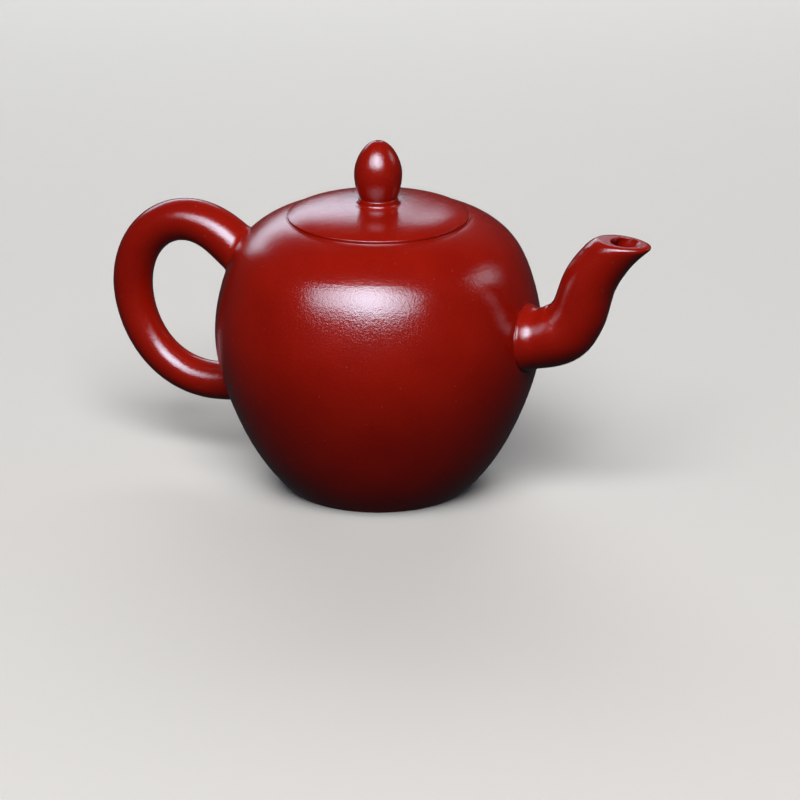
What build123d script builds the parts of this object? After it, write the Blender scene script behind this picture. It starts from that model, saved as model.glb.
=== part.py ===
from build123d import *
from math import cos, radians, sin
import os

# Small round clay teapot with a flush domed lid.
# Frame: origin at the centre of the base, on the table. +Z is up and +X points to the spout.
# All sizes are in millimetres.

# Pot: outer outline as (radius, height), from the edge of the base up to the mouth ring
base_radius = 22.4
belly_radius = 39.4
belly_height = 38.0
mouth_ring_radius = 22.0
shoulder_top = 67.05
pot_outline = [
    (base_radius, 0),
    (29.0, 8.0),
    (35.1, 20.0),
    (belly_radius, belly_height),
    (37.1, 52.0),
    (33.0, 60.5),
    (28.0, 64.8),
    (mouth_ring_radius, shoulder_top),
]
inner_stations = [i / 10 for i in range(11)]
wall = 2.6
base_thickness = 3.0
shoulder_seam = 60.5
dish_radius = 17.5
dish_depth = 1.0

# Mouth ring: the collar round the mouth that the lid sits on
rim_height = 67.2
mouth_ring_bottom = 63.4
mouth_radius = 18.0
outer_lip = 0.2
inner_lip = 0.4

# Lid: a domed plate on a flat seat disc, with a flange that drops into the mouth
lid_radius = 21.7
lid_edge = 0.6
lid_apex = 70.4
lid_crown_radius = 17.3
lid_edge_rounding = 0.15
seat_thickness = 1.2
flange_radius = mouth_radius - 0.3
flange_thickness = 1.7
flange_depth = 5.5
vent_radius = 0.6

# Knob: an egg standing in a groove on a short neck, with a foot drawn out onto the lid
knob_foot_radius = 5.6
knob_neck_radius = 4.75
knob_neck_height = 71.5
knob_groove_radius = 4.5
knob_groove_height = 72.0
knob_shoulder = (5.1, 73.2)
knob_radius = 5.75
knob_widest_height = 77.8
knob_flank_low = 75.6
knob_flank_high = 81.6
knob_tip_radius = 2.9
knob_top = 85.9

# Spout: centre line as (distance from the axis, height), and radii spaced evenly along it
spout_line = [(33.0, 42.1), (42.0, 41.9), (48.4, 45.3), (51.5, 50.5), (53.3, 56.5), (57.0, 62.7), (67.6, 74.1)]
spout_radii = [8.6, 8.05, 7.15, 7.4, 6.9, 6.6, 6.45, 6.15, 5.75, 5.65, 5.7, 5.8]
bore_radii = [5.6, 5.4, 5.0, 4.8, 4.6, 4.4, 4.2, 3.8, 3.2, 2.7, 2.5, 2.5]
spout_mouth = (62.6, 68.15)
spout_mouth_tilt = 4.0
spout_hole_radius = 3.4
spout_hole_depth = 2.5
spout_outer_lip = 0.9
spout_inner_lip = 0.3

# Strainer: a pierced dome over the spout hole, inside the pot
strainer_radius = 8.5
strainer_wall = 1.5
strainer_centre = (36.5, 0, 42.0)
strainer_hole_radius = 0.8
strainer_rings = {0: 1, 24: 6, 46: 12}

# Handle: centre line as (distance from the axis, height), and radii spaced evenly along it
handle_line = [
    (-32.0, 51.2),
    (-38.0, 55.6),
    (-45.0, 59.8),
    (-53.5, 60.1),
    (-61.0, 55.2),
    (-65.2, 45.0),
    (-63.6, 33.7),
    (-57.0, 24.4),
    (-47.5, 20.2),
    (-38.0, 20.6),
    (-31.0, 22.4),
]
handle_radii = [6.1, 5.75, 5.4, 5.1, 4.95, 4.9, 4.85, 4.7, 4.6, 4.6, 4.65, 4.8, 5.0]


def tube(line, radii):
    """A round tube along a centre line in the XZ plane, with radii spaced evenly along it."""
    path = Spline(*[(x, 0, z) for x, z in line])
    with BuildPart() as shape:
        for i, radius in enumerate(radii):
            t = i / (len(radii) - 1)
            with BuildSketch(Plane(origin=path @ t, x_dir=(0, 1, 0), z_dir=path % t)):
                Circle(radius)
        loft()
    return shape.part


def finish(piece, name):
    """Label one finished piece and write it to its own STEP file."""
    piece.part.label = name
    export_step(piece.part, f"parts/{name}.step")


os.makedirs("parts", exist_ok=True)

# The whole outer shape of the pot as one solid. Each wall piece is a slice of it.
with BuildPart() as envelope:
    with BuildSketch(Plane.XZ):
        with BuildLine():
            outline = Spline(*pot_outline)
            Polyline(outline @ 1, (0, shoulder_top), (0, 0), outline @ 0)
        make_face()
    revolve(axis=Axis.Z)

# The room inside: the outline moved in by the wall, above the base.
with BuildPart() as cavity:
    with BuildSketch(Plane.XZ):
        with BuildLine():
            inner = Spline(*[outline @ t + (outline % t).rotate(Axis.Z, 90) * wall for t in inner_stations])
            Polyline(inner @ 1, (0, (inner @ 1).Y), (0, (inner @ 0).Y), inner @ 0)
        make_face()
    revolve(axis=Axis.Z)
    split(bisect_by=Plane.XY.offset(base_thickness), keep=Keep.TOP)

with BuildPart() as spout_bore:
    add(tube(spout_line, bore_radii))

# Base disc: closes the pot, with a shallow dish below that leaves a ring to stand on.
with BuildPart() as base_disc:
    add(envelope.part)
    split(bisect_by=Plane.XY.offset(base_thickness), keep=Keep.BOTTOM)
    with BuildSketch(Plane.XZ):
        with BuildLine():
            ThreePointArc((-dish_radius, 0), (0, dish_depth), (dish_radius, 0))
            Line((dish_radius, 0), (-dish_radius, 0))
        make_face()
        split(bisect_by=Plane.YZ, keep=Keep.TOP)
    revolve(axis=Axis.Z, mode=Mode.SUBTRACT)
finish(base_disc, "base_disc")

# Body wall: the paddled clay wall from the base disc up to the shoulder.
with BuildPart() as body_wall:
    add(envelope.part)
    add(cavity.part, mode=Mode.SUBTRACT)
    split(bisect_by=Plane.XY.offset(base_thickness), keep=Keep.TOP)
    split(bisect_by=Plane.XY.offset(shoulder_seam), keep=Keep.BOTTOM)
    add(spout_bore.part, mode=Mode.SUBTRACT)
finish(body_wall, "body_wall")

# Shoulder disc: the disc that closes the top of the wall, round the mouth ring.
with BuildPart() as shoulder_disc:
    add(envelope.part)
    add(cavity.part, mode=Mode.SUBTRACT)
    split(bisect_by=Plane.XY.offset(shoulder_seam), keep=Keep.TOP)
    Cylinder(mouth_ring_radius, 2 * rim_height, mode=Mode.SUBTRACT)
finish(shoulder_disc, "shoulder_disc")

# Mouth ring: a flat top for the lid, with both lips rounded.
with BuildPart() as mouth_ring:
    with BuildSketch(Plane.XY.offset(mouth_ring_bottom)):
        Circle(mouth_ring_radius)
        Circle(mouth_radius, mode=Mode.SUBTRACT)
    extrude(amount=rim_height - mouth_ring_bottom)
    top_edges = mouth_ring.faces().sort_by(Axis.Z)[-1].edges().sort_by(SortBy.RADIUS)
    fillet(top_edges[0], radius=inner_lip)
    fillet(top_edges[-1], radius=outer_lip)
finish(mouth_ring, "mouth_ring")

# Spout: a tapering curved tube, seated on the body wall. Its mouth is cut level and pierced with a round hole.
with BuildPart() as spout:
    add(tube(spout_line, spout_radii))
    mouth_x, mouth_z = spout_mouth
    tilt = radians(spout_mouth_tilt)
    mouth_plane = Plane(origin=(mouth_x, 0, mouth_z), z_dir=(sin(tilt), 0, cos(tilt)))
    split(bisect_by=mouth_plane, keep=Keep.BOTTOM)
    add(envelope.part, mode=Mode.SUBTRACT)
    add(spout_bore.part, mode=Mode.SUBTRACT)
    with BuildSketch(mouth_plane):
        Circle(spout_hole_radius)
    extrude(amount=-spout_hole_depth, mode=Mode.SUBTRACT)
    lips = spout.faces().filter_by(mouth_plane)[0].edges().sort_by(SortBy.LENGTH)
    fillet(lips[-1], radius=spout_outer_lip)
    lips = spout.faces().filter_by(mouth_plane)[0].edges().sort_by(SortBy.LENGTH)
    fillet(lips[0], radius=spout_inner_lip)
finish(spout, "spout")

# Strainer: a dome on the inner wall, pierced by rings of round holes.
with BuildPart() as strainer:
    with Locations(strainer_centre):
        Sphere(strainer_radius)
        Sphere(strainer_radius - strainer_wall, mode=Mode.SUBTRACT)
    for tilt, count in strainer_rings.items():
        slope = radians(tilt)
        for i in range(count):
            turn = radians(360 * i / count)
            ray = (-cos(slope), sin(slope) * cos(turn), sin(slope) * sin(turn))
            with Locations(Plane(origin=strainer_centre, z_dir=ray)):
                Cylinder(
                    strainer_hole_radius,
                    strainer_radius + 1,
                    align=(Align.CENTER, Align.CENTER, Align.MIN),
                    mode=Mode.SUBTRACT,
                )
    add(cavity.part, mode=Mode.INTERSECT)
finish(strainer, "strainer")

# Handle: a round ear, thicker at its upper root, with both ends luted to the body wall.
with BuildPart() as handle:
    add(tube(handle_line, handle_radii))
    add(envelope.part, mode=Mode.SUBTRACT)
finish(handle, "handle")

# The lid's plate as one solid, from the rim up to the crown. The seat disc and the dome are slices of it.
with BuildPart() as lid_plate:
    with BuildSketch(Plane.XZ):
        with BuildLine():
            edge_top = (lid_radius, rim_height + lid_edge)
            Polyline((0, lid_apex), (0, rim_height), (lid_radius, rim_height), edge_top)
            Bezier(edge_top, (lid_crown_radius, lid_apex), (0, lid_apex))
        make_face()
    revolve(axis=Axis.Z)
    rim_edges = lid_plate.edges().filter_by(GeomType.CIRCLE).sort_by(SortBy.RADIUS)[-2:]
    fillet(rim_edges, radius=lid_edge_rounding)
    Cylinder(vent_radius, 3 * lid_apex, mode=Mode.SUBTRACT)

with BuildPart() as lid_seat:
    add(lid_plate.part)
    split(bisect_by=Plane.XY.offset(rim_height + seat_thickness), keep=Keep.BOTTOM)
finish(lid_seat, "lid_seat")

with BuildPart() as lid_dome:
    add(lid_plate.part)
    split(bisect_by=Plane.XY.offset(rim_height + seat_thickness), keep=Keep.TOP)
finish(lid_dome, "lid_dome")

# Lid flange: the ring under the lid that keeps it centred in the mouth.
with BuildPart() as lid_flange:
    with BuildSketch(Plane.XY.offset(rim_height)):
        Circle(flange_radius)
        Circle(flange_radius - flange_thickness, mode=Mode.SUBTRACT)
    extrude(amount=-flange_depth)
    fillet(lid_flange.faces().sort_by(Axis.Z)[0].edges(), radius=inner_lip)
finish(lid_flange, "lid_flange")

# Knob: turned in one piece with its foot, and pierced by the vent hole.
with BuildPart() as knob:
    with BuildSketch(Plane.XZ):
        with BuildLine():
            foot_height = rim_height + seat_thickness
            neck = (knob_neck_radius, knob_neck_height)
            groove = (knob_groove_radius, knob_groove_height)
            widest = (knob_radius, knob_widest_height)
            foot = Bezier((knob_foot_radius, lid_apex), (knob_neck_radius, lid_apex), neck)
            Bezier(neck, (knob_neck_radius, knob_groove_height), groove)
            Bezier(groove, knob_shoulder, (knob_radius, knob_flank_low), widest)
            tip = (vent_radius, knob_top)
            Bezier(widest, (knob_radius, knob_flank_high), (knob_tip_radius, knob_top), tip)
            Polyline(foot @ 0, (knob_foot_radius, foot_height), (vent_radius, foot_height), tip)
        make_face()
    revolve(axis=Axis.Z)
    add(lid_plate.part, mode=Mode.SUBTRACT)
finish(knob, "knob")
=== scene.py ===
from math import cos, pi, radians, sin, tan

import bmesh
import bpy
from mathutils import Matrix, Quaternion, Vector
from mathutils.bvhtree import BVHTree


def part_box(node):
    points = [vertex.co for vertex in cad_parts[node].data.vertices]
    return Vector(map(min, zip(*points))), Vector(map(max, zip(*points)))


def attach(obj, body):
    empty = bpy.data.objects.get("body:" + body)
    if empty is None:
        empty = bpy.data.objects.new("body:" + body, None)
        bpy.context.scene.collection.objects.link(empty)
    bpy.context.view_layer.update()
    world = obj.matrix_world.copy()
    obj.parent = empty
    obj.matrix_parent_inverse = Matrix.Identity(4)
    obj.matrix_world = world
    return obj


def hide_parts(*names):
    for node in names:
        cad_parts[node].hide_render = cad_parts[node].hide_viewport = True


# Looks for a small red clay teapot, built round its CAD frame. Lengths are in metres.
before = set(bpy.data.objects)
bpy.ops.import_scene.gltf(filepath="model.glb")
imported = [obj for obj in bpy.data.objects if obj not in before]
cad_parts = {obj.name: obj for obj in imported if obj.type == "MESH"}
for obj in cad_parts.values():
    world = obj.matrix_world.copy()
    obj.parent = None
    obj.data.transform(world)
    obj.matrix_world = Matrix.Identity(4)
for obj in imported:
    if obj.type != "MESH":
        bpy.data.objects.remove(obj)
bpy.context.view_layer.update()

MM = 0.001
UP = Vector((0, 0, 1))
ALONG = Vector((1, 0, 0))
ACROSS = Vector((0, 1, 0))

# Camera: where the viewer stands, and how far the pot's base sits from the middle of the picture
VIEW_TURN = radians(22)
VIEW_LIFT = radians(20)
VIEW_DISTANCE = 988 * MM
VIEW_LENS = 181.9
BASE_OFFSET = (5.2 * MM, 19.3 * MM)

# Lights: all of them are aimed at one point and stand at one distance from it
LIGHT_TARGET = Vector((0, 0, 45 * MM))
LIGHT_DISTANCE = 1.2
WARM_WHITE = (1.0, 0.98, 0.96)
BACK_BLUE = (0.64, 0.84, 1.0)
SIDE_BLUE = (0.70, 0.87, 1.0)
WORLD_COLOUR = (0.75, 0.8, 0.9, 1)
WORLD_STRENGTH = 0.035

# Key light: a wide softbox that is brightest in the middle. Its nested panels are (turn, spread, height).
KEY_PANELS = [(-13, 76, 25), (-12, 63, 31), (-10, 42, 35), (-8, 20, 38)]
KEY_LIFT = 38.5
KEY_RADIANCE = 5.7
KEY_BLUE = (0.62, 0.84, 1.0)

FLOOR_HALF = 6.0
FLOOR_COLOUR = (0.42, 0.41, 0.40, 1)

# Clay colour: a burnished tone that drifts between deep and lit, a raw tone for the inside, and grit
CLAY_DEEP = (0.180, 0.0034, 0.0006, 1)
CLAY_LIT = (0.215, 0.0050, 0.0012, 1)
CLAY_RAW = (0.200, 0.0220, 0.0100, 1)
GRIT_COLOUR = (0.36, 0.10, 0.06, 1)
CLOUD_SIZE = 16 * MM
CLOUD_SHARE = 0.7
FLECK_SIZE = 0.45 * MM
FLECK_SHARE = 0.3
TONE_START = 0.32
TONE_END = 0.68

# Grit: specks in one cell out of ten. Their radii are shares of a cell.
GRIT_CELL = 1.3 * MM
GRIT_MISSING = 0.9
GRIT_CORE = 0.05
GRIT_EDGE = 0.13
GRIT_STRENGTH = 0.5

# Clay surface: a patchy sheen under the wax, between two roughnesses, and the grain as bumps of (size, depth,
# detail, roughness)
SHEEN_SIZE = 9 * MM
SHEEN_SMOOTH = 0.33
SHEEN_ROUGH = 0.42
SHEEN_START = 0.3
SHEEN_END = 0.7
RAW_ROUGHER = 0.32
GRAIN = [
    (7 * MM, 0.04 * MM, 1, 0.5),
    (0.85 * MM, 0.032 * MM, 1, 0.5),
    (0.45 * MM, 0.042 * MM, 2, 0.7),
]
ROOM_MIDDLE = (0, 0, 38 * MM)

# Tubes: the handle and the spout are cut across, one step after another, and made again from the cuts.
# A walk along a tube ends where a cut isn't round or, once it has settled, comes close to the wall.
TURNS = 96
STEP = 0.6 * MM
OUT_OF_ROUND = 1.0 * MM
SETTLING = 8
STOP_SHORT = 2 * STEP
PROBE_SPACING = 4
SMOOTHING = 6
BEND_SPAN = 12
CURVE_STEPS = 8
HANDLE_REACH = 9 * MM
SPOUT_REACH = 12 * MM
SPOUT_RINGS = 72

# Luting: the slip that is smoothed into the corner wherever two clay pieces are joined, as (length along the
# tube, width on the wall, change of that width on top, change of it below)
SPOUT_LUTING = (3.6 * MM, 1.7 * MM, -0.35, -0.8)
HANDLE_LUTING = (2.0 * MM, 0.8 * MM, 0, 0)
FEATHER = 0.5 * MM
SKIN = 0.004 * MM
SUNK = 0.02 * MM

# Spout mouth: a level face with its outer edge rolled over, most of all at the tip, and a round hole
LEVEL = 0.99
MOUTH_DEPTH = 2 * MM
LIP_CUTS = 3
LIP_SPAN = 4
LIP_OUTSIDE = 3.0 * MM
LIP_ROOM = 1.2
LIP_TOP = 1.2 * MM
TIP_ROUNDING = 0.9
TIP_FOCUS = 4
HOLE_RADIUS = 3.4 * MM
HOLE_SHIFT = Vector((0.1 * MM, 0, 0))
HOLE_EDGE = 0.2 * MM
HOLE_EDGE_STEPS = 4
HOLE_DEPTH = 1.5 * MM
FLAT = 0.15 * MM
BORE_START = 5.0 * MM


# ---------------------------------------------------------------- camera, lights and floor


def view_axes():
    """The camera's right, up and forward directions."""
    forward = Vector((-sin(VIEW_TURN) * cos(VIEW_LIFT), cos(VIEW_TURN) * cos(VIEW_LIFT), -sin(VIEW_LIFT)))
    right = Vector((cos(VIEW_TURN), sin(VIEW_TURN), 0))
    return right, right.cross(forward), forward


def make_camera():
    right, up, forward = view_axes()
    data = bpy.data.cameras.new("camera")
    data.lens = VIEW_LENS
    data.clip_start = 0.05
    camera = bpy.data.objects.new("camera", data)
    bpy.context.collection.objects.link(camera)
    camera.location = right * BASE_OFFSET[0] + up * BASE_OFFSET[1] - forward * VIEW_DISTANCE
    camera.rotation_euler = (-forward).to_track_quat("Z", "Y").to_euler()
    bpy.context.scene.camera = camera


def softbox(name, turn, lift, spread, height, radiance, colour):
    """A studio softbox aimed at the pot. Turn, lift, spread and height are in degrees, as seen from the pot.
    Turn goes from the camera's side to its right."""
    right, _, forward = view_axes()
    towards_camera = Vector((-forward.x, -forward.y, 0)).normalized()
    level = towards_camera * cos(radians(turn)) + right * sin(radians(turn))
    direction = level * cos(radians(lift)) + UP * sin(radians(lift))
    data = bpy.data.lights.new(name, "AREA")
    data.shape = "RECTANGLE"
    data.size = 2 * LIGHT_DISTANCE * tan(radians(spread) / 2)
    data.size_y = 2 * LIGHT_DISTANCE * tan(radians(height) / 2)
    data.energy = radiance * pi * data.size * data.size_y
    data.color = colour
    light = bpy.data.objects.new(name, data)
    bpy.context.collection.objects.link(light)
    light.location = LIGHT_TARGET + direction * LIGHT_DISTANCE
    light.rotation_euler = direction.to_track_quat("Z", "Y").to_euler()
    return light


def make_lights():
    """Two lights that give no gloss, a key light that gives nothing else, and softboxes behind and beside."""
    main = softbox("main_light", turn=-5, lift=50, spread=34, height=34, radiance=15, colour=WARM_WHITE)
    main.visible_glossy = False
    fill = softbox("back_fill", turn=178, lift=22, spread=50, height=34, radiance=6, colour=WARM_WHITE)
    fill.visible_glossy = False
    for i, (turn, spread, height) in enumerate(KEY_PANELS):
        key = softbox(f"key_softbox_{i}", turn, KEY_LIFT, spread, height, KEY_RADIANCE, KEY_BLUE)
        key.visible_diffuse = False
    softbox("back_softbox", turn=-160, lift=21, spread=40, height=14, radiance=3.7, colour=BACK_BLUE)
    softbox("back_corner", turn=-186.5, lift=27, spread=6, height=8, radiance=3.7, colour=BACK_BLUE)
    softbox("side_softbox", turn=100, lift=27, spread=22, height=18, radiance=2.4, colour=SIDE_BLUE)
    world = bpy.data.worlds.new("studio")
    world.use_nodes = True
    background = world.node_tree.nodes["Background"]
    background.inputs["Color"].default_value = WORLD_COLOUR
    background.inputs["Strength"].default_value = WORLD_STRENGTH
    bpy.context.scene.world = world
    bpy.context.scene.view_settings.view_transform = "Standard"


def make_floor():
    """A plain pale floor. It is hidden from reflections and bounced light, like a dark table."""
    corners = [(-1, -1, 0), (1, -1, 0), (1, 1, 0), (-1, 1, 0)]
    mesh = bpy.data.meshes.new("floor")
    mesh.from_pydata([Vector(corner) * FLOOR_HALF for corner in corners], [], [(0, 1, 2, 3)])
    floor = bpy.data.objects.new("floor", mesh)
    bpy.context.collection.objects.link(floor)
    material = bpy.data.materials.new("floor_paper")
    material.use_nodes = True
    shader = material.node_tree.nodes["Principled BSDF"]
    shader.inputs["Base Color"].default_value = FLOOR_COLOUR
    shader.inputs["Roughness"].default_value = 0.9
    shader.inputs["Specular IOR Level"].default_value = 0.1
    mesh.materials.append(material)
    floor.visible_glossy = False
    floor.visible_diffuse = False


# ---------------------------------------------------------------- materials


class Nodes:
    """A short way to build one material's node tree."""

    def __init__(self, name):
        self.material = bpy.data.materials.new(name)
        self.material.use_nodes = True
        self.tree = self.material.node_tree
        self.shader = self.tree.nodes["Principled BSDF"]
        self.place = self.add("ShaderNodeTexCoord").outputs["Object"]

    def add(self, kind, **inputs):
        """A node with its inputs set or linked by name."""
        node = self.tree.nodes.new(kind)
        for key, value in inputs.items():
            self.set(node.inputs[key], value)
        return node

    def set(self, socket, value):
        if isinstance(value, bpy.types.NodeSocket):
            self.tree.links.new(value, socket)
        else:
            socket.default_value = value

    def noise(self, size, detail, roughness=0.5):
        """Noise from 0 to 1, with features about `size` metres across."""
        node = self.add("ShaderNodeTexNoise", Vector=self.place, Scale=1 / size, Detail=detail)
        self.set(node.inputs["Roughness"], roughness)
        return node.outputs["Fac"]

    def math(self, operation, first, second):
        node = self.tree.nodes.new("ShaderNodeMath")
        node.operation = operation
        self.set(node.inputs[0], first)
        self.set(node.inputs[1], second)
        return node.outputs[0]

    def vector_math(self, operation, first, second):
        node = self.tree.nodes.new("ShaderNodeVectorMath")
        node.operation = operation
        self.set(node.inputs[0], first)
        self.set(node.inputs[1], second)
        return node

    def span(self, value, start, end, low=0.0, high=1.0):
        """Map value from start..end onto low..high, smoothly and without going past either."""
        node = self.add("ShaderNodeMapRange", Value=value)
        node.interpolation_type = "SMOOTHSTEP"
        for key, number in {"From Min": start, "From Max": end, "To Min": low, "To Max": high}.items():
            self.set(node.inputs[key], number)
        return node.outputs["Result"]

    def mix(self, factor, first, second):
        """A blend of two colours."""
        node = self.tree.nodes.new("ShaderNodeMix")
        node.data_type = "RGBA"
        factor_input, first_input, second_input = node.inputs[0], node.inputs[6], node.inputs[7]
        self.set(factor_input, factor)
        self.set(first_input, first)
        self.set(second_input, second)
        return node.outputs[2]

    def bump(self, height, depth, below):
        """A normal with a bump on it, and on top of another bump if there is one below."""
        node = self.add("ShaderNodeBump", Height=height, Distance=depth)
        if below is not None:
            self.set(node.inputs["Normal"], below)
        return node.outputs["Normal"]


def inside(nodes):
    """1 on the surfaces that face into the pot, and 0 on the burnished outside."""
    from_middle = nodes.vector_math("SUBTRACT", nodes.place, ROOM_MIDDLE).outputs["Vector"]
    normal = nodes.add("ShaderNodeNewGeometry").outputs["Normal"]
    facing = nodes.vector_math("DOT_PRODUCT", from_middle, normal).outputs["Value"]
    return nodes.math("LESS_THAN", facing, 0.0)


def clay_tone(nodes):
    """Soft clouds and fine flecks, between the deep and the lit tone."""
    cloud = nodes.math("MULTIPLY", nodes.noise(CLOUD_SIZE, detail=3), CLOUD_SHARE)
    fleck = nodes.math("MULTIPLY", nodes.noise(FLECK_SIZE, detail=2), FLECK_SHARE)
    tone = nodes.math("ADD", cloud, fleck)
    return nodes.mix(nodes.span(tone, TONE_START, TONE_END), CLAY_DEEP, CLAY_LIT)


def gritty(nodes, colour):
    """A colour with a pale speck of grit here and there."""
    cells = nodes.add("ShaderNodeTexVoronoi", Vector=nodes.place, Scale=1 / GRIT_CELL)
    cell_number = nodes.add("ShaderNodeSeparateColor", Color=cells.outputs["Color"]).outputs[0]
    chosen = nodes.math("GREATER_THAN", cell_number, GRIT_MISSING)
    speck = nodes.span(cells.outputs["Distance"], GRIT_CORE, GRIT_EDGE, low=1, high=0)
    strength = nodes.math("MULTIPLY", nodes.math("MULTIPLY", speck, chosen), GRIT_STRENGTH)
    return nodes.mix(strength, colour, GRIT_COLOUR)


def clay(name, raw):
    """Fine red clay. Raw is 0 for burnished and waxed clay, 1 for bare clay, and "inside" for a wall that is
    bare on the side that faces into the pot and burnished on the other."""
    nodes = Nodes(name)
    inputs = nodes.shader.inputs
    bare = inside(nodes) if raw == "inside" else raw
    waxed = nodes.math("SUBTRACT", 1.0, bare) if raw == "inside" else 1.0 - raw

    colour = nodes.mix(bare, clay_tone(nodes), CLAY_RAW)
    nodes.set(inputs["Base Color"], gritty(nodes, colour))

    patches = nodes.noise(SHEEN_SIZE, detail=4, roughness=0.6)
    sheen = nodes.span(patches, SHEEN_START, SHEEN_END, low=SHEEN_SMOOTH, high=SHEEN_ROUGH)
    nodes.set(inputs["Roughness"], nodes.math("ADD", sheen, nodes.math("MULTIPLY", bare, RAW_ROUGHER)))
    inputs["Specular IOR Level"].default_value = 0.02
    nodes.set(inputs["Coat Weight"], waxed)
    inputs["Coat Roughness"].default_value = 0.15

    normal = None
    for size, depth, detail, roughness in GRAIN:
        normal = nodes.bump(nodes.noise(size, detail, roughness), depth, normal)
    nodes.set(inputs["Normal"], normal)
    nodes.set(inputs["Coat Normal"], normal)
    return nodes.material


# ---------------------------------------------------------------- measuring the CAD tubes


def surface(node):
    """A CAD node's surface, for casting rays at."""
    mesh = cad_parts[node].data
    return BVHTree.FromPolygons([v.co for v in mesh.vertices], [p.vertices for p in mesh.polygons])


def compass(heading):
    """Directions all round a tube that runs in the XZ plane, square to its heading."""
    side = heading.cross(ACROSS)
    angles = [2 * pi * i / TURNS for i in range(TURNS)]
    return [ACROSS * cos(angle) + side * sin(angle) for angle in angles]


def circle(centre, heading, radius):
    return [centre + outward * radius for outward in compass(heading)]


def middle_of(tube, start, direction):
    """The middle of everything that a ray meets in a tube."""
    first = tube.ray_cast(start, direction)[0]
    last = tube.ray_cast(start + direction, -direction)[0]
    return (first + last) / 2


def section(tube, centre, heading, reach):
    """The middle and radius of a tube's outside, square to a heading, or None if it isn't round there."""
    points = [tube.ray_cast(centre + outward * reach, -outward, reach)[0] for outward in compass(heading)]
    if None in points:
        return None
    middle = sum(points, Vector()) / TURNS
    radii = [(point - middle).length for point in points]
    if max(radii) - min(radii) > OUT_OF_ROUND:
        return None
    return middle, sum(radii) / TURNS


def walk(tube, wall, centre, heading, reach):
    """Cut a tube all the way from one place to its end, or to the wall, into (middle, heading, radius)."""
    cuts = []
    while True:
        found = section(tube, centre, heading, reach)
        if found is None:
            return cuts
        middle, radius = found
        if cuts:
            heading = (middle - cuts[-1][0]).normalized()
        cuts.append((middle, heading, radius))
        probes = circle(middle, heading, radius)[::PROBE_SPACING]
        nearest = min(wall.find_nearest(point)[3] for point in probes)
        if len(cuts) > SETTLING and nearest < STOP_SHORT:
            return cuts
        centre = middle + heading * STEP


def measure(tube, wall, start, reach):
    """Cut a whole tube: from its middle down to its lower root, and then from that root to its other end."""
    middle, heading, _ = walk(tube, wall, start, -UP, reach)[-1]
    return walk(tube, wall, middle, -heading, reach)


def smooth(cuts):
    """Even out the small facets that the cuts were measured from."""
    for _ in range(SMOOTHING):
        inner = zip(cuts, cuts[1:], cuts[2:])
        evened = [tuple((a + b * 2 + c) / 4 for a, b, c in zip(*three)) for three in inner]
        cuts = [cuts[0]] + evened + [cuts[-1]]
    return [(middle, heading.normalized(), radius) for middle, heading, radius in cuts]


# ---------------------------------------------------------------- clay skins


def spread(wall, point, outward, luting):
    """A point moved out from its tube by the luting, which thickens towards the wall."""
    length, width, above, below = luting
    width *= 1 + (above if outward.z > 0 else below) * outward.z**2
    share = max(0, 1 - wall.find_nearest(point)[3] / length)
    return point + outward * width * share**2


def luted(wall, cut, luting):
    """A ring round a tube, with the luting on it where it is near the wall."""
    return [spread(wall, point, outward, luting) for point, outward in zip(circle(*cut), compass(cut[1]))]


def root(wall, cut, luting):
    """Rings from a tube's last cut on to the wall, and an edge that is feathered out and sunk in the wall."""
    centre, heading, radius = cut
    shares = [k / CURVE_STEPS for k in range(1, CURVE_STEPS)]
    lines = []
    for outward in compass(heading):
        start = centre + outward * radius
        corner = wall.ray_cast(start, heading)[0]
        line = [spread(wall, start.lerp(corner, share), outward, luting) for share in shares]
        end = spread(wall, corner, outward, luting)
        foot, normal, _, _ = wall.find_nearest(end)
        edge, _, _, _ = wall.find_nearest(end + outward * FEATHER)
        lines.append(line + [foot + normal * SKIN, edge - normal * SUNK])
    return [list(ring) for ring in zip(*lines)]


def lower_root(wall, cut, luting):
    """The same rings at a tube's first cut, which heads away from the wall."""
    middle, heading, radius = cut
    rings = root(wall, (middle, -heading, radius), luting)
    return [[ring[-i] for i in range(TURNS)] for ring in reversed(rings)]


def skin(name, rings, body, material, closed=False):
    """A quad mesh through rings of points, closed into a loop or capped at both ends."""
    count = len(rings[0])
    faces = []
    for r in range(len(rings) if closed else len(rings) - 1):
        here = r * count
        there = (r + 1) % len(rings) * count
        for i in range(count):
            j = (i + 1) % count
            faces.append((here + i, here + j, there + j, there + i))
    if not closed:
        faces.append(tuple(reversed(range(count))))
        faces.append(tuple(range((len(rings) - 1) * count, len(rings) * count)))
    mesh = bpy.data.meshes.new(name)
    mesh.from_pydata([point for ring in rings for point in ring], [], faces)
    mesh.materials.append(material)
    piece = bpy.data.objects.new(name, mesh)
    bpy.context.collection.objects.link(piece)
    outwards = bmesh.new()
    outwards.from_mesh(mesh)
    bmesh.ops.recalc_face_normals(outwards, faces=outwards.faces)
    outwards.to_mesh(mesh)
    outwards.free()
    mesh.shade_smooth()
    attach(piece, body)
    return piece


# ---------------------------------------------------------------- handle


def make_handle(material):
    """The handle, with both roots luted to the wall."""
    tube, wall = surface("handle"), surface("body_wall")
    low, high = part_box("handle")
    start = middle_of(tube, Vector((low.x - HANDLE_REACH, 0, (low.z + high.z) / 2)), ALONG)
    cuts = smooth(measure(tube, wall, start, HANDLE_REACH))
    lower = lower_root(wall, cuts[0], HANDLE_LUTING)
    rings = [luted(wall, cut, HANDLE_LUTING) for cut in cuts]
    upper = root(wall, cuts[-1], HANDLE_LUTING)
    piece = skin("handle_luted", lower + rings + upper, "pot", material)
    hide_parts("handle")


# ---------------------------------------------------------------- spout


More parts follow.
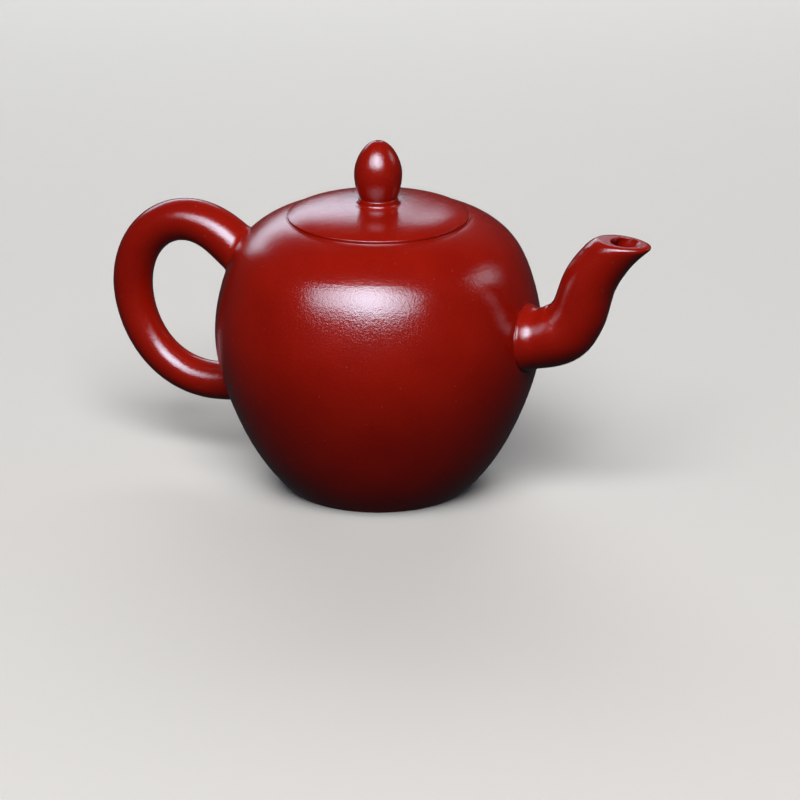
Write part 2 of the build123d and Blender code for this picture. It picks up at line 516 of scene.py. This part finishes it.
def run_on(cuts, height):
    """Carry a tube on past its end with the bend that it ends with, until all of it is above a height."""
    _, early_heading, early_radius = cuts[-BEND_SPAN]
    middle, heading, radius = cuts[-1]
    steps = BEND_SPAN - 1
    turn = Quaternion().slerp(early_heading.rotation_difference(heading), 1 / steps)
    growth = (radius - early_radius) / steps
    longer = list(cuts)
    while min(point.z for point in circle(middle, heading, radius)) < height:
        heading = turn @ heading
        middle = middle + heading * STEP
        radius = radius + growth
        longer.append((middle, heading, radius))
    return longer


def mouth_plane():
    """The middle and the normal of the largest level face at the top of the CAD spout."""
    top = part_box("spout")[1].z
    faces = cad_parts["spout"].data.polygons
    level = [face for face in faces if face.normal.z > LEVEL and face.center.z > top - MOUTH_DEPTH]
    largest = max(level, key=lambda face: face.area)
    return largest.center.copy(), largest.normal.copy()


def cut_at(line, level, normal):
    """A line of points cut off at a plane and spaced out evenly again."""
    kept = [line[0]]
    for before, after in zip(line, line[1:]):
        below = (before - level).dot(normal)
        above = (after - level).dot(normal)
        if above >= 0:
            kept.append(before.lerp(after, below / (below - above)))
            break
        kept.append(after)
    return spaced(kept, SPOUT_RINGS)


def spaced(points, count):
    """The same line with its points spaced evenly."""
    lengths = [0.0]
    for before, after in zip(points, points[1:]):
        lengths.append(lengths[-1] + (after - before).length)
    result = []
    k = 0
    for n in range(count):
        target = lengths[-1] * n / (count - 1)
        while k < len(points) - 2 and lengths[k + 1] < target:
            k += 1
        share = (target - lengths[k]) / (lengths[k + 1] - lengths[k])
        result.append(points[k].lerp(points[k + 1], share))
    return result


def curve(start, corner, end, steps):
    """Points round a corner, from start to end."""
    shares = [k / steps for k in range(steps + 1)]
    return [start * (1 - t) ** 2 + corner * (2 * t * (1 - t)) + end * t**2 for t in shares]


def trim(line, amount):
    """A line without its last stretch."""
    kept = list(line)
    while (kept[-1] - line[-1]).length < amount:
        kept.pop()
    return kept


def rolled(line, rim, normal):
    """A line up the spout's outside, carried over the lip and the level face to the rim and into the hole."""
    end = line[-1]
    inward = (rim - end).normalized()
    along = (end - line[-LIP_SPAN]).normalized()
    top = LIP_TOP * (1 + TIP_ROUNDING * max(0, -inward.x) ** TIP_FOCUS)
    lip = curve(end - along * LIP_OUTSIDE, end, end + inward * top, CURVE_STEPS)
    edge = curve(rim - inward * HOLE_EDGE, rim, rim - normal * HOLE_EDGE, HOLE_EDGE_STEPS)
    face = [lip[-1] + inward * FLAT, edge[0] - inward * FLAT]
    throat = [edge[-1] - normal * FLAT, rim - normal * HOLE_DEPTH]
    return trim(line, LIP_OUTSIDE * LIP_ROOM) + lip + face + edge + throat


def bore_rings(tube, cuts, top):
    """Rings on the inside of a tube, from a height back down to its first cut."""
    rings = []
    for middle, heading, _ in reversed([cut for cut in cuts if cut[0].z < top]):
        hits = [tube.ray_cast(middle, outward, SPOUT_REACH)[0] for outward in compass(heading)]
        if None not in hits:
            rings.append(hits)
    return rings


def make_spout(material):
    """The spout, luted to the wall, with its mouth's edges rolled over and a round hole into its bore."""
    tube, wall = surface("spout"), surface("body_wall")
    low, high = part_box("spout")
    start = middle_of(tube, Vector((high.x + SPOUT_REACH, 0, (low.z + high.z) / 2)), -ALONG)
    cuts = run_on(smooth(measure(tube, wall, start, SPOUT_REACH)[:-LIP_CUTS]), high.z)

    level, normal = mouth_plane()
    rings = [luted(wall, cut, SPOUT_LUTING) for cut in cuts]
    lines = [cut_at(line, level, normal) for line in zip(*rings)]
    hole = sum([line[-1] for line in lines], Vector()) / TURNS + HOLE_SHIFT
    hole -= normal * (hole - level).dot(normal)
    rims = circle(hole, normal, HOLE_RADIUS)
    finished = [rolled(line, rim, normal) for line, rim in zip(lines, rims)]

    foot = lower_root(wall, cuts[0], SPOUT_LUTING)
    outside = [list(ring) for ring in zip(*finished)]
    bore = bore_rings(tube, cuts, hole.z - BORE_START)
    piece = skin("spout_luted", foot + outside + bore, "pot", material, closed=True)
    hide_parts("spout")


# ---------------------------------------------------------------- the teapot

make_camera()
make_lights()
make_floor()

burnished = clay("burnished_clay", raw=0.0)
walls = clay("wall_clay", raw="inside")
bare = clay("bare_clay", raw=1.0)
finishes = {
    "base_disc": walls,
    "body_wall": walls,
    "shoulder_disc": walls,
    "mouth_ring": walls,
    "spout": burnished,
    "strainer": bare,
    "handle": burnished,
    "lid_seat": walls,
    "lid_dome": burnished,
    "lid_flange": bare,
    "knob": burnished,
}
for node, finish in finishes.items():
    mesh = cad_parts[node].data
    mesh.materials.clear()
    mesh.materials.append(finish)

make_handle(burnished)
make_spout(burnished)
